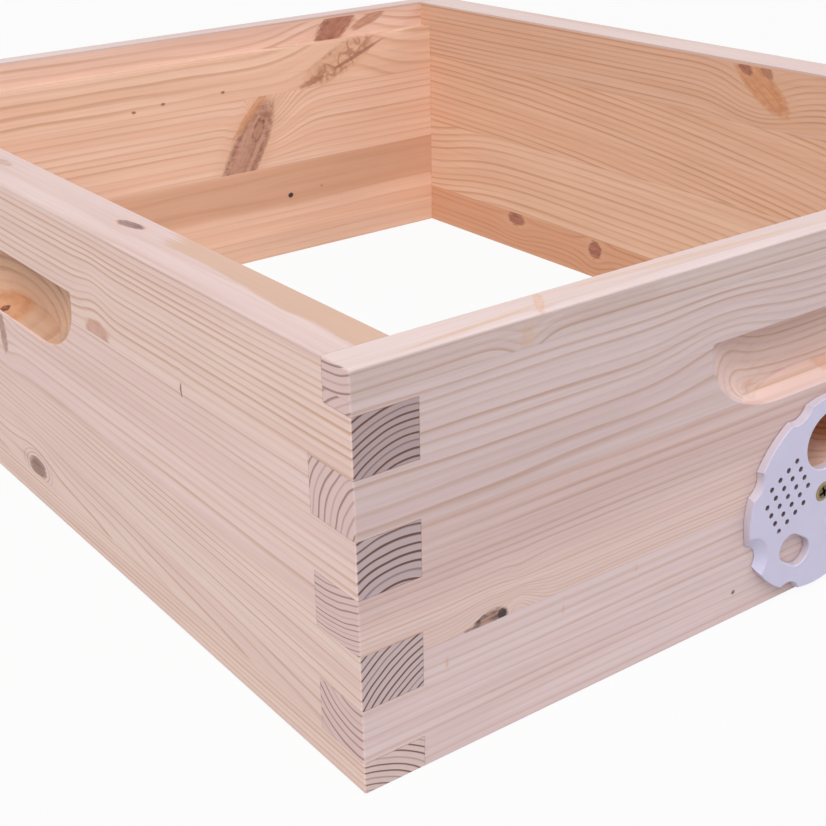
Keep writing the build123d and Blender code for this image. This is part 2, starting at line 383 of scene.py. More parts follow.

# %% [markdown]
# ## Front wall
# The wall with the disc. A dark loose knot is cut in half by the lowest glue
# line, the stave with the bore has fine dense lines, and the lines above the
# hand-hold rise over a branch that was cut away. Such a branch has no colour
# here and only lifts the lines. The rim has a few tan streaks.

# %% Boards of the front wall
# The tints of the front boards darken them, partly as painted shade.
FRONT_END = ((1.097, 1.034, 1.0), 0.42)
BOARDS = {
    "front_bottom_board": Board(
        (47, 3.7), 3.4, wander=1, lines=0.4, end=FRONT_END, tint=(0.975, 1.015, 1.085),
        knots=(
            Knot(-42.5, 12, 0.9, 0.9, DARK, part=0.2),
            Knot(-179, 37, 0.6, 1.8, TAN, part=0.2, shown=0.4),
            Knot(-129, 38, 0.5, 1.5, TAN, part=0.2, shown=0.4),
            Knot(-95, 42, 0.5, 1.2, TAN, part=0.2, shown=0.4),
        ),
    ),
    "front_lower_board": Board(
        (113, 21), 20.6, power=2.5, wander=1, red=0.08, heart=(52, 7), lines=0.5, end=FRONT_END,
        warm=0.2, bore=(64.4, 13.2), tint=(0.88, 0.865, 0.89),
        knots=(
            Knot(
                -161, 46.2, 7, 3.6, DARK, lean=5, reach=(11, 8), part=0.7, lift=2, halo=0.1,
                ragged=0.4, edge=1,
            ),
            Knot(-156.2, 47, 1.8, 2, BLACK, part=0, halo=0, ragged=0.3, shown=0.9),
            Knot(-169, 45.8, 3, 0.7, SLATE, part=0, halo=0, ragged=0.3, shown=0.8),
            Knot(-150, 52, 9, 5, BROWN, reach=(10, 9), part=-0.8, lift=4, side=(-8, 2), shown=0),
            Knot(7, 90.3, 5, 2.4, FLAME, part=0, edge=0.1, shown=0.3, depths=(5, 14)),
        ),
    ),
    "front_upper_board": Board(
        (87, -18), 3, wander=1.4, lines=0.6, end=FRONT_END, warm=0.15, close=0.6,
        tint=(0.88, 0.92, 0.975),
        knots=(
            Knot(-58, 117, 12, 6, TAN, reach=(24, 16), part=0, lift=7, shown=0),
            Knot(-37, 93.6, 5, 1.2, FLAME, part=0, edge=0, shown=0.25, depths=(4, 12)),
        ),
    ),
    "front_top_board": Board(
        (199, 18), 2.8, wander=1.2, lines=0.6, end=FRONT_END, rim_heart=(HALF_WIDTH, 8, 0, 0.12),
        tint=(0.84, 0.88, 0.91), rim_tint=(0.905, 0.985, 1.035),
        knots=(
            Knot(
                -147.5, 141, 2.6, 6, TAN, reach=(9, 14), part=0.3, lift=-4, halo=0.4, edge=0.2,
                shown=0.25,
            ),
            Knot(-137, 7, 1.6, 9, TAN, lean=-35, part=0.3, ragged=1.6, shown=0.4, rim=True),
            Knot(
                -165, 4, 30, 1.2, TAN, lean=4, part=0, halo=0, ragged=1.2, edge=0, shown=0.5,
                rim=True,
            ),
            Knot(
                -70, 9, 60, 1.6, TAN, lean=-2, part=0, halo=0, ragged=1.2, edge=0, shown=0.4,
                rim=True,
            ),
            Knot(-113, 144, 22, 4, BROWN, part=0, halo=0, ragged=2.5, edge=0, shown=0.2),
        ),
    ),
}
print("boards of the front wall", len(BOARDS))

# %% [markdown]
# ## Left wall
# The side wall nearest to the camera. Thin lines run out slantwise at its lowest
# glue line, beside a slate knot with rings round it. The hand-hold cuts a branch
# open, so its floor shows closed rings round a dark core. Both boards that share
# the hand-hold name the same branch, and the rings meet across the glue line.

# %% Boards of the left wall
LEFT_BURL = (16, 88, 2)
BOARDS.update({
    # The tints of the left boards lighten them, partly as painted light.
    "left_bottom_board": Board(
        (-32, -7), 2.3, wander=0.5, lines=0.75, end=((1.06, 1.065, 1.03), 0.6),
        tint=(1.07, 1.07, 1.02),
    ),
    "left_lower_board": Board(
        (6, 27), 2.5, drift=(0, -0.05), wander=1, lines=0.8, thin=4, end=((0.88, 0.9, 0.925), 1),
        tint=(1.06, 1.07, 1.04),
        knots=(Knot(-2.3, 18.4, 8.6, 4.6, SLATE, lean=-6, reach=(22, 13), halo=0, rings=0.5),),
    ),
    "left_upper_board": Board(
        (54, 15.7), 3, wander=0.8, lines=0.5, end=((0.765, 0.78, 0.82), 1), warm=0.8,
        burl=LEFT_BURL, tint=(1.07, 1.07, 1.07),
        knots=(
            Knot(-151.8, 106.8, 0.6, 2.8, SLATE, lean=-12, part=0.1, halo=0, ragged=0.4),
            Knot(16, 88, 18, 5.5, FLAME, part=0, ragged=0.3, edge=0.3, shown=0.6, depths=(0.7, 14)),
            Knot(16, 88, 2.6, 2, CORE, part=0, halo=0, edge=0.9, depths=(0.7, 14), deep=(2, 3)),
            Knot(16.5, 77, 3.4, 9, BROWN, reach=(12, 12), part=0.6, halo=0.1, depths=(-2, 0.4)),
        ),
    ),
    "left_top_board": Board(
        (93, 20.5), 2.45, wander=0.7, lines=0.85, end=((0.67, 0.66, 0.685), 1), warm=0.8,
        burl=LEFT_BURL, rim_heart=(-110, 13, -0.014, 1), tint=(1.07, 1.06, 1.02),
        rim_tint=(0.875, 0.905, 0.925),
        knots=(
            Knot(-86.5, 107, 10, 6.2, RUST, reach=(12, 18), part=0.4, halo=0.15, edge=0.3, shown=0.75),
            Knot(-151.8, 106.8, 0.6, 2.8, SLATE, lean=12, part=0.1, halo=0, ragged=0.4),
            Knot(-92, 15.9, 8.4, 2.5, SHADOW, lean=-8, part=0.9, rim=True),
            Knot(28, 15.4, 8, 2.4, BROWN, shown=0.5, rim=True),
        ),
    ),
})
print("boards so far", len(BOARDS))

# %% [markdown]
# ## Rear wall
# Its inner face is in view, with the rest for the frames along the top. A large
# leaning knot like a leaf stands in the third stave, and the lines right of it
# sweep up. The knot at the top is cut by the rest, so one colour shows on the
# thin upper part and another, veined, on the thicker part below. Depths keep the
# two apart.

# %% Boards of the rear wall
BOARDS.update({
    "rear_bottom_board": Board(
        (-30, 60), 3.4, wander=1.5, red=0.2, lines=0.3, tint=(1, 1.05, 1.09),
    ),
    "rear_lower_board": Board(
        (47, 30), 5, wander=2.4, red=0.62, heart=(15, 4), lines=0.3, tint=(0.94, 0.93, 0.93),
        knots=(
            Knot(71.5, 39, 2, 1.7, BLACK, part=0.3, halo=0.1),
            Knot(96, 41, 1, 0.9, RUST, part=0.2, halo=0.1),
        ),
    ),
    "rear_upper_board": Board(
        (-40, 30), 4.1, wander=1, lines=0.6, tint=(1, 1.02, 1.05),
        knots=(
            Knot(40.5, 72.5, 35, 11.5, LEAF, lean=58, part=0, halo=0.5, ragged=0.3, streaks=0.5),
            Knot(
                50, 86, 8, 3.6, EYE, lean=62, part=0, halo=0, ragged=0.4, edge=0.9, streaks=0.3,
                shown=0.8,
            ),
            Knot(45, 96.5, 19, 2.6, FLAME, lean=45, part=0, ragged=2, shown=0.6, depths=(12, 30)),
            Knot(52, 80, 20, 9, RUST, reach=(24, 60), part=-0.9, lift=-17, side=(-12, 2), shown=0),
            Knot(34, 70, 20, 9, RUST, reach=(8, 24), part=0, lift=-5, shown=0),
        ),
    ),
    "rear_top_board": Board(
        (60, -30), 5, wander=2, lines=0.7, tint=(1, 1.03, 1.05),
        knots=(
            Knot(118, 125, 20, 12, TAN, reach=(38, 40), part=0, lift=16, shown=0),
            Knot(
                119, 142, 21, 8.5, UMBER, lean=38, part=0, ragged=0.6, edge=0.8, shown=0.9,
                depths=(0, 17),
            ),
            Knot(145, 142, 14, 3, RUST, lean=18, part=0, shown=0.9, depths=(0, 17)),
            Knot(
                114, 121, 31, 9, VEINED, lean=24, part=0, halo=0.6, ragged=0.7, edge=0.3,
                veins=0.65, shown=0.45, depths=(18, 30),
            ),
            Knot(
                128, 122.5, 22, 1.3, UMBER, lean=20, part=0, halo=0, ragged=1.6, shown=0.8,
                depths=(18, 30),
            ),
            Knot(
                92, 110, 10, 1.6, UMBER, lean=14, part=0, halo=0, ragged=1.6, shown=0.6,
                depths=(18, 30),
            ),
            Knot(-36, 110, 1.4, 0.8, UMBER, part=0.2),
            Knot(-16, 112, 1.4, 0.8, UMBER, part=0.2),
            Knot(26, 113, 1.4, 0.8, UMBER, part=0.2),
        ),
    ),
})
print("boards so far", len(BOARDS))

# %% [markdown]
# ## Right wall
# Its inner face is in view too. The lines of the two middle staves slant and bow,
# because their log grew crooked, so the pith of those boards drifts along the
# board. The lowest strip is red heartwood with two round knots, and an orange
# branch comes down from the rim.

# %% Boards of the right wall
BOARDS.update({
    "right_bottom_board": Board(
        (-40, 60), 3, wander=1, red=1.3, lines=0.5,
        knots=(
            Knot(65.5, 17.5, 5.6, 5.4, UMBER, edge=0.9),
            Knot(140.5, 20.5, 8, 4.4, UMBER),
        ),
    ),
    "right_lower_board": Board(
        (-30, 0), 4.2, drift=(0.045, 0), bow=-0.00014, wander=1.2, red=0.3, lines=0.8,
        tint=(0.97, 1.02, 1.03),
        knots=(Knot(240, 45, 20, 10, TAN, reach=(50, 60), part=0, lift=-10, shown=0),),
    ),
    "right_upper_board": Board(
        (40, 30), 3.6, drift=(0.114, 0), bow=-0.000214, wander=1, red=0.42, lines=0.8,
        tint=(0.97, 0.99, 0.99),
    ),
    "right_top_board": Board(
        (60, 20), 3, wander=0.6, red=0.45, lines=0.8, tint=(0.93, 0.95, 0.96),
        knots=(
            Knot(
                -54, 137, 23, 7.2, FLAME, lean=33, reach=(26, 22), part=0.3, lift=-9, halo=0.7,
                ragged=0.4, shown=0.75, depths=(12, 30),
            ),
            Knot(-42, 145, 6, 3, UMBER, lean=30, part=0),
            Knot(-57, 144.5, 5, 2.6, UMBER, lean=35, part=0, shown=0.8),
        ),
    ),
})
print("boards", len(BOARDS), "knots", sum(len(board.knots) for board in BOARDS.values()))

# %% [markdown]
# ## A point on a board
# Every board gets the same recipe with its own numbers. The recipe first asks
# where a point lies: how far along the board, how high, how deep behind the
# outer face, and which way the surface faces there. Object coordinates answer
# that without any unwrapping, and they hold for hidden faces too.
# Fibres, streaks, blotches and clouds are noise with cells stretched along the
# board, as in real wood.

# %% Along and behind


def board_axes(name, x, y):
    """Distance along the board, and depth behind its outer face."""
    wall = name.split("_")[0]
    if wall == "front":
        return x, y + HALF_LENGTH
    if wall == "rear":
        return x, HALF_LENGTH - y
    if wall == "left":
        return y, x + HALF_WIDTH
    return y, HALF_WIDTH - x


# %% The point and its noises
ROUGH_CELL = (5, 3)
FIBRE_CELL = (30, 0.5)
STREAK_CELL = (90, 1.3)
CLOUD_CELL = (60, 18)
RIM_SKIN = (RIM - 1.4, RIM - 0.4)


class Spot:
    """A point on a board: its place, the way it faces, and noises that its marks share."""

    def __init__(self, name, board, seed):
        self.wood = new_finish(name)
        self.board = board
        self.seed = seed
        x, y, self.height = self.wood.parts(self.wood.place())
        self.along, self.depth = board_axes(name, x, y)
        faces_x, faces_y, self.faces_up = self.wood.facing()
        self.faces_along = faces_x if self.along is x else faces_y
        self.rough = self.noise(ROUGH_CELL, (0, 0, seed), detail=3.0, roughness=0.6)
        self.fibre = self.noise(FIBRE_CELL, (0, seed, 0), detail=3.0, roughness=0.65)
        self.streaks = self.noise(STREAK_CELL, (0, seed, 0))
        self.cloud = self.noise(CLOUD_CELL, (seed, 0, 0))
        self.on_rim = self.height.rise(*RIM_SKIN)

    def noise(self, cell, shift, detail=2.0, roughness=0.5):
        """Noise with cells of a length along the board and a width across it."""
        length, width = cell
        place = self.wood.vector(self.along / length, self.height / width, self.depth / width)
        return self.wood.noise(self.wood.moved(place, shift), detail, roughness)


# %% [markdown]
# ## Knots push the lines
# A knot is an ellipse on the face, turned by its lean. The distance from it is 1
# on its edge, and its pull on the lines fades like a bell curve. Where a knot
# can't be, as on the rim or past its depths, it loses its push, and its distance
# is made large, so that it doesn't show.

# %% Place and push of a knot
KNOT_FADE = 0.5
RIM_FADE = (RIM - 2, RIM - 1)
OUT_OF_SIGHT = 9
STREAK_LONG = 0.8
STREAK_WIDE = 4


@dataclass
class KnotShape:
    """What a knot does at a point."""

    distance: Field  # 1 on its edge
    push: Field  # how far it moves the lines
    streak: Field  # noise along its long side


def knot_there(spot, knot):
    """1 on the surfaces that a knot may show on."""
    there = spot.height.rise(*RIM_FADE)
    if not knot.rim:
        there = 1 - there
    if knot.depths:
        first, last = knot.depths
        there = there * spot.depth.rise(first - KNOT_FADE, first)
        there = there * (1 - spot.depth.rise(last, last + KNOT_FADE))
    return there


def knot_shape(spot, knot):
    """Distance, push and streak of a knot."""
    aside = spot.along - knot.along
    above = (spot.depth if knot.rim else spot.height) - knot.height
    cosine, sine = math.cos(math.radians(knot.lean)), math.sin(math.radians(knot.lean))
    long = (aside * cosine + above * sine) / knot.half_long
    wide = (above * cosine - aside * sine) / knot.half_wide
    spread = long * long + wide * wide
    if knot.deep:
        middle, half_deep = knot.deep
        inward = (spot.depth - middle) / half_deep
        spread = spread + inward * inward
    near, across = aside / knot.reach[0], above / knot.reach[1]
    pull = (-(near * near + across * across)).exp()
    if knot.side:
        pull = pull * aside.rise(*knot.side)
    there = knot_there(spot, knot)
    push = pull * there * (above * knot.part + knot.lift)
    place = spot.wood.vector(long * STREAK_LONG, wide * STREAK_WIDE, knot.along)
    streak = spot.wood.noise(place, detail=3.0, roughness=0.6)
    return KnotShape(spread.sqrt() + (1 - there) * OUT_OF_SIGHT, push, streak)


# %% [markdown]
# ## Knots colour the wood
# Over the finished wood lie the orange halo, the streaked middle and last the
# bark at the edge. A clean ellipse would look like a sticker, so streaks and
# blotches fray the outline, and the bark has gaps.

# %% Colour of a knot
BLOTCHES = 0.4
INSIDE_EDGE = (0.72, 1.12)
HALO_EDGE = (0.7, 2.0)
BARK_START, BARK_END = (0.55, 0.9), (0.96, 1.16)
BARK_GAPS = (0.32, 0.62)
STREAK_SHARE = 0.65
STREAK_STEP = (0.36, 0.64)


def knot_colour(spot, knot, shape, colour):
    """Lays a knot over a colour."""
    wood, rough, distance = spot.wood, spot.rough, shape.distance
    middle, bark = knot.colours
    uneven = distance + (shape.streak - 0.5) * knot.ragged + (rough - 0.5) * BLOTCHES
    inside = 1 - uneven.rise(*INSIDE_EDGE)
    halo = 1 - distance.rise(*HALO_EDGE)
    bark_ring = uneven.rise(*BARK_START) * (1 - uneven.rise(*BARK_END)) * rough.rise(*BARK_GAPS)
    grain = (shape.streak * STREAK_SHARE + rough * (1 - STREAK_SHARE)).rise(*STREAK_STEP)
    streaked = wood.mix(grain, middle, blend(middle, bark, knot.streaks))
    colour = wood.mix(halo * (knot.halo * knot.shown), colour, HALO)
    if knot.rings:
        colour = wood.mix(knot_threads(spot, distance) * knot.rings, colour, middle)
    colour = wood.mix(inside * knot.shown, colour, streaked)
    if knot.veins:
        colour = wood.mix(knot_veins(wood) * inside * knot.veins, colour, bark)
    return wood.mix(bark_ring * (knot.edge * knot.shown), colour, bark)


# %% Threads and veins
THREADS = 2.6
THREAD_STRAY = 0.6
THREAD_START, THREAD_END = (0.45, 0.75), (0.85, 1.0)
THREAD_REACH = (1.5, 2.4)
VEIN_CELL = 9.0
VEIN_WIDTH = 0.09


def knot_threads(spot, distance):
    """Thin lines that circle a knot."""
    circle = (distance * THREADS + (spot.rough - 0.5) * THREAD_STRAY).fract()
    thread = circle.rise(*THREAD_START) * (1 - circle.rise(*THREAD_END))
    return thread * (1 - distance.rise(*THREAD_REACH))


def knot_veins(wood):
    """Dark veins where a slow noise crosses its middle."""
    swirl = wood.noise(wood.scaled(wood.place(), 1 / VEIN_CELL), detail=1.5)
    return 1 - (swirl - 0.5).abs().rise(0.0, VEIN_WIDTH)


# %% [markdown]
# ## Hand-holds
# The scoops cut across the rings, so their floors show curves that the same
# formula gives. On two walls that is not enough. In the left hand-hold a branch
# lies just under the surface, with closed shells of wood round it, and in the
# front one the rings close up towards the back. Both change the distance from
# the pith behind the outer face only, along the scoop.

# %% Inside a hand-hold
HOLD_END = (66.0, 72.0)
BURL_END = (80.0, 86.0)
HOLD_CEILING = 117.0
HOLD_SKIN = (0.4, 0.9)
HOLD_DEPTH = (14, 16)
HOLD_TOP = (119, 121)
HOLD_BACK = (0.5, 8)
BURL_STRETCH = 3.2
BURL_DEPTH = 0.3
BURL_RINGS = 0.2


def cut_open(board, along, height, depth):
    """1 on the surfaces of the hand-hold that cuts a branch open."""
    hollow = depth.rise(*HOLD_SKIN) * (1 - depth.rise(*HOLD_DEPTH)) * (1 - height.rise(*HOLD_TOP))
    aside = (along - board.burl[0]).abs()
    return hollow * (1 - aside.rise(*BURL_END))


def burl_shells(board, along, height, depth):
    """Distance from a branch that lies along the board, in the measure of the rings."""
    burl_along, burl_height, burl_depth = board.burl
    aside = (along - burl_along) / BURL_STRETCH
    above = height - burl_height
    inward = (depth - burl_depth) * BURL_DEPTH
    return (aside * aside + above * above + inward * inward).sqrt() * (board.ring * BURL_RINGS)


def closing_rings(board, along, height, depth):
    """How far the rings move towards the back of the hand-hold."""
    beyond = along.abs().rise(*HOLD_END)
    return (height - HOLD_CEILING) * (depth.rise(*HOLD_BACK) * (1 - beyond)) * board.close


# %% [markdown]
# ## Years
# The distance from the pith, divided by the width of a ring, counts the years.
# The whole number names the year and the rest says how late in it the wood grew.
# True circles would look turned on a lathe, so a slow noise lets the rings stray,
# and another makes some years wider than others.

# %% Years from the pith
STRAY_CELL = (140, 26)
STRAY_SEED = 7.3
STRAY_REACH = 3
WIDTH_CELL = (400, 9)
WIDTH_SEED = 3.1
WIDTH_YEARS = 0.5


def years(spot, height, depth):
    """Distance from the pith, and the same counted in years."""
    wood, board, along, seed = spot.wood, spot.board, spot.along, spot.seed
    length, width = STRAY_CELL
    place = wood.vector(along / length + seed * STRAY_SEED, height / width, depth / width)
    stray = wood.noise(place)
    up = height - along * board.drift[0] - along * along * board.bow - board.pith[0]
    back = depth - along * board.drift[1] - board.pith[1]
    radius = (up * up + back * back).sqrt() + (stray - 0.5) * (STRAY_REACH * board.wander)
    if board.close:
        radius = radius + closing_rings(board, along, height, depth)
    if board.burl:
        shells = burl_shells(board, along, height, depth)
        radius = radius + (shells - radius) * cut_open(board, along, height, depth)
    length, width = WIDTH_CELL
    place = wood.vector(radius / width + seed * WIDTH_SEED, along / length, seed)
    count = radius / board.ring
    if board.power != 1:
        count = count ** board.power
    return radius, count + (wood.noise(place, detail=1.0) - 0.5) * WIDTH_YEARS


# %% [markdown]
# ## The dark part of a year
# Early wood is pale, late wood is dark, and the change back is sharp. Two smooth
# steps, one slow and one quick, give that profile. Some years are hardly seen,
# so each year has its own vigour. On the ends of the fingers the same years show
# as thin dark arcs.

# %% Late wood
LATE_START, LATE_END = (0.45, 0.85), (0.9, 1.0)
ARC_START, ARC_END = (0.6, 0.8), (0.91, 0.98)
ARC_LEAST = 0.55
ARC_VIGOUR = (0.3, 0.6)
YEAR_STEP = 0.73
VIGOUR_LENGTH = 200


def year_vigour(spot, year):
    """How strong a year is, as noise that steps from year to year."""
    place = spot.wood.vector(year.floor() * YEAR_STEP + spot.seed, spot.along / VIGOUR_LENGTH, 0.0)
    return spot.wood.noise(place, detail=0.0)


def late_wood(spot, year):
    """1 in the late part of a year, on the faces."""
    phase = year.fract()
    late = phase.rise(*LATE_START) * (1 - phase.rise(*LATE_END))
    return late if spot.board.thin == 1 else late ** spot.board.thin


def end_arcs(year, vigour):
    """1 in the late part of a year, on the ends."""
    phase = year.fract()
    arc = phase.rise(*ARC_START) * (1 - phase.rise(*ARC_END))
    return arc * (ARC_LEAST + vigour.rise(*ARC_VIGOUR))


# %% [markdown]
# ## Tones of a board
# The wood goes from the pale outer tone to the warmer inner one with the depth
# behind the outer face, so both sides of a wall and the floor of a hand-hold get
# theirs from one rule. Heartwood is redder and ends at a distance from the pith.

# %% Outer, inner and heartwood
HOLD_WARMTH = (0.5, 9)
INSIDE_WARMTH = (12.3, 17)


def wood_tones(spot, radius):
    """Colours of early wood, of its pink bands and of late wood, and the board's tint."""
    wood, board, depth = spot.wood, spot.board, spot.depth
    # the inner share is partly painted bounce light inside the box
    inner = board.warm * depth.rise(*HOLD_WARMTH) + (1 - board.warm) * depth.rise(*INSIDE_WARMTH)
    inner = inner * (1 - spot.on_rim)
    red, tint = board.red, (*board.tint, 1.0)
    if board.heart:
        heart_radius, soft = board.heart
        outside = radius.rise(heart_radius - soft, heart_radius + soft)
        red = red * (1 - outside)
        tint = wood.mix(outside, tint, PLAIN)
    early = wood.mix(inner, OUTER_EARLY, wood.mix(red, INNER_EARLY, HEART_EARLY))
    pink = wood.mix(inner, OUTER_PINK, wood.mix(red, INNER_PINK, HEART_EARLY))
    dark = wood.mix(inner, OUTER_LATE, wood.mix(red, INNER_LATE, HEART_LATE))
    return early, pink, dark, tint


# %% Heartwood on the rim
RIM_CLOUDS, RIM_BLOTCHES = 12, 1.5
START_CLOUDS, START_STREAKS = 40, 30
START_LENGTH = 12
TAN_EDGE = 1.5
TAN_LEAST, TAN_STREAKS = 0.8, 0.4


def rim_heartwood(spot):
    """1 where tan heartwood shows on the rim, with a ragged border."""
    start, near, slope, share = spot.board.rim_heart
    ahead = start - spot.along
    border = near + ahead * slope + (spot.cloud - 0.5) * RIM_CLOUDS + (spot.rough - 0.5) * RIM_BLOTCHES
    begun = ahead + (spot.cloud - 0.5) * START_CLOUDS + (spot.streaks - 0.5) * START_STREAKS
    tan = spot.on_rim * begun.rise(0, START_LENGTH) * (spot.depth - border).rise(0, TAN_EDGE)
    return tan * (TAN_LEAST + TAN_STREAKS * spot.streaks) * share


# %% [markdown]
# ## Faces
# Pink bands lie over the early wood, the lines of the years and the fine fibres
# darken it, and each board has its own tint. The tints are partly the tones of
# boards from different trees and partly painted light, which darkens the front
# wall and lightens the left wall as the light falls on them. The tint could be
# baked into sixteen palettes. As a factor it needs three numbers for a board, the
# hand-holds can leave it out, and the rim can have its own, a painted shade that
# dims and cools it against the light from above.

# %% Colour of a face
BAND_CELL = (260, 7)
BAND_STEP, BAND_SHARE = (0.36, 0.66), 0.7
BRANCH_SHARE = 0.85
LINE_LEAST, LINE_VIGOUR, VIGOUR_STEP = 0.25, 1.1, (0.25, 0.75)
RIM_LINES = 0.65
STREAK_LINES, FIBRE_LINES, FINE_STEP = 0.22, 0.16, (0.4, 0.75)
SCOOP_START, SCOOP_END = (0.5, 3), (13, 16)


def lines_on_face(spot, late, vigour):
    """Darkness of the lines of the years and of the fibres."""
    strong = late * (LINE_LEAST + LINE_VIGOUR * vigour.rise(*VIGOUR_STEP))
    strong = strong * (spot.board.lines * (1 - RIM_LINES * spot.on_rim))
    fine = STREAK_LINES * spot.streaks.rise(*FINE_STEP) + FIBRE_LINES * spot.fibre.rise(*FINE_STEP)
    return (strong + fine).least(1.0)


def face_colour(spot, radius, lines):
    """Wood with its bands, lines and tint."""
    wood, board, depth = spot.wood, spot.board, spot.depth
    early, pink, dark, tint = wood_tones(spot, radius)
    if board.rim_heart:
        tan = rim_heartwood(spot)
        early = wood.mix(tan, early, RIM_TAN)
        pink = wood.mix(tan, pink, RIM_TAN)
    length, width = BAND_CELL
    place = wood.vector(spot.along / length + spot.seed, radius / width, 0.0)
    band = wood.noise(place, detail=1.0)
    colour = wood.mix(band.rise(*BAND_STEP) * BAND_SHARE, early, pink)
    if board.burl:
        branch_wood = cut_open(board, spot.along, spot.height, depth) * BRANCH_SHARE
        colour = wood.mix(branch_wood, colour, HOLD_TAN)
        dark = wood.mix(branch_wood, dark, HOLD_LATE)
    colour = wood.mix(lines, colour, dark)
    scoop = depth.rise(*SCOOP_START) * (1 - depth.rise(*SCOOP_END))
    # The rim's tint is a painted shade against the light from above.
    tint = wood.mix(spot.on_rim, wood.mix(scoop, tint, PLAIN), (*board.rim_tint, 1.0))
    return wood.times(colour, tint)


# %% [markdown]
# ## Cuts and ends
# The floors of the rests and of the left hand-hold get a painted shade where
# they face up. The bore's wall gets a painted brown shade, weaker on its floor,
# and the ends of the fingers show grey end grain with dark arcs. Those faces could
# be picked one by one. The way that a surface faces finds them all, also when the
# box changes.

# %% Painted shade on ledges
# A painted shade on the floors of the rests and of the left hand-hold
LEDGE_PAINTED_SHADE = 0.18
LEDGE_SHADE_TILT = (0.2, 0.6)
LEDGE_SHADE_FADE = 0.8
HOLD_FLOOR, REST_FLOOR = 0.7, 13.0


def painted_shade_on_ledges(spot, colour):
    """Darkens the surfaces inside that face up with a painted shade."""
    first = HOLD_FLOOR if spot.board.burl else REST_FLOOR
    # painted shade where a surface inside faces up
    ledge_shade = spot.faces_up.rise(*LEDGE_SHADE_TILT) * spot.depth.rise(first, first + LEDGE_SHADE_FADE) * (1 - spot.on_rim)
    return spot.wood.scaled(colour, 1 - LEDGE_PAINTED_SHADE * ledge_shade)


# %% End grain and bore
END_TILT = (0.55, 0.95)
BORE_FADE = 0.5
BORE_SKIN = (0.2, 1.0)
# How far below the bore's middle its painted shade weakens, and by how much
BORE_FLOOR, FLOOR_LESS_SHADE = (4, 11), 0.6


def ends_and_bore(spot, arcs, lines, colour):
    """Lays the painted shade of the bore and the end grain over a colour."""
    wood, board = spot.wood, spot.board
    on_end = spot.faces_along.abs().rise(*END_TILT)
    if board.bore:
        bore_height, bore_radius = board.bore
        above = spot.height - bore_height
        outward = (spot.along * spot.along + above * above).sqrt()
        bored = 1 - outward.rise(bore_radius - BORE_FADE, bore_radius)
        # The bore's wall gets a painted brown shade, weaker towards its floor.
        bore_painted_shade = bored * spot.depth.rise(*BORE_SKIN) * (1 - FLOOR_LESS_SHADE * (-above).rise(*BORE_FLOOR))
        colour = wood.mix(bore_painted_shade, colour, wood.mix(lines, BORE_PAINTED_SHADE, BORE_PAINTED_SHADE_LATE))
        on_end = on_end * (1 - bored)
    end_tint, end_lines = board.end
    end_early = tuple(value * share for value, share in zip(END_EARLY, (*end_tint, 1.0)))
    end_colour = wood.mix((arcs * end_lines).least(1.0), end_early, END_LATE)
    return wood.mix(on_end, colour, end_colour)


# %% [markdown]
# ## Sixteen boards
# Now the steps come together. Knots push the lines, the lines give years, the
# years give colour, and cuts, ends and knots lie on top. A thin shade along the
# upper and lower edge of each board is the glue line. Fibres also make the wood
# a little rougher and raise a grain of five hundredths of a millimetre, too fine
# for a mesh, so it is a bump.

# %% One board
GLUE_LINE = 0.45
LIGHTNESS = 0.97
FIBRE_SHADE, CLOUD_SHADE, GLUE_SHADE = 0.08, 0.08, 0.07
WOOD_ROUGHNESS, FIBRE_ROUGHNESS = 0.56, 0.2
FIBRE_BUMP, LATE_BUMP, BUMP_METRES = 0.6, 0.4, 0.00005


def pushed(spot, shapes):
    """Height and depth of a point as the lines see it, after the knots' push."""
    height, depth = spot.height, spot.depth
    for knot, shape in zip(spot.board.knots, shapes):
        if knot.rim:
            depth = depth - shape.push
        else:
            height = height - shape.push
    return height, depth


def glue_lines(name, height):
    """1 on the upper and lower edge of a board."""
    low, high = (corner.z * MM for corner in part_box(name))
    return 1 - (height - low).rise(0.0, GLUE_LINE) * (1 - (height - high).rise(-GLUE_LINE, 0.0))


def pine(name, board, seed):
    """Material of one board."""
    spot = Spot(name, board, seed)
    shapes = [knot_shape(spot, knot) for knot in board.knots]
    radius, year = years(spot, *pushed(spot, shapes))
    vigour = year_vigour(spot, year)
    late = late_wood(spot, year)
    lines = lines_on_face(spot, late, vigour)
    colour = painted_shade_on_ledges(spot, face_colour(spot, radius, lines))
    colour = ends_and_bore(spot, end_arcs(year, vigour), lines, colour)
    for knot, shape in zip(board.knots, shapes):
        if knot.shown:
            colour = knot_colour(spot, knot, shape, colour)
    wood, fibre = spot.wood, spot.fibre
    shade = LIGHTNESS + FIBRE_SHADE * (fibre - 0.5) + CLOUD_SHADE * (spot.cloud - 0.5)
    shade = shade - GLUE_SHADE * glue_lines(name, spot.height) * (1 - spot.on_rim)
    wood.set(Base_Color=wood.scaled(colour, shade), Roughness=WOOD_ROUGHNESS + FIBRE_ROUGHNESS * fibre)
    wood.bump(fibre * FIBRE_BUMP + late * LATE_BUMP, BUMP_METRES)
    return wood


# %% All boards
for seed, (name, board) in enumerate(BOARDS.items()):
    wood = pine(name, board, seed)
    wood.paint(name)
    print(name, len(wood.tree.nodes), "shader nodes")

# %% [markdown]
# ## Disc
# The disc is an injection-moulded plate, pale lilac, with a satin skin and a
# faint cloudiness. Its two flat sides face front and back, which tells them from
# the edges, whose duller, pinker colour is painted shade and a painted reflection
# of the pine beside them. Little light reaches the walls of the air holes, and the
# soft lamps of the studio would fill them, so these walls get a painted shade,
# within reach of the middle of the field of holes.

# %% Distance from the screw's line


def from_axis(finish, place, axis):
    """Distance from a line that runs front to back."""
    flat = finish.times(place, (1, 0, 1))
    inputs = {0: flat, 1: (axis.x, 0, axis.z)}
    return finish.node("ShaderNodeVectorMath", {"operation": "DISTANCE"}, inputs, "Value")


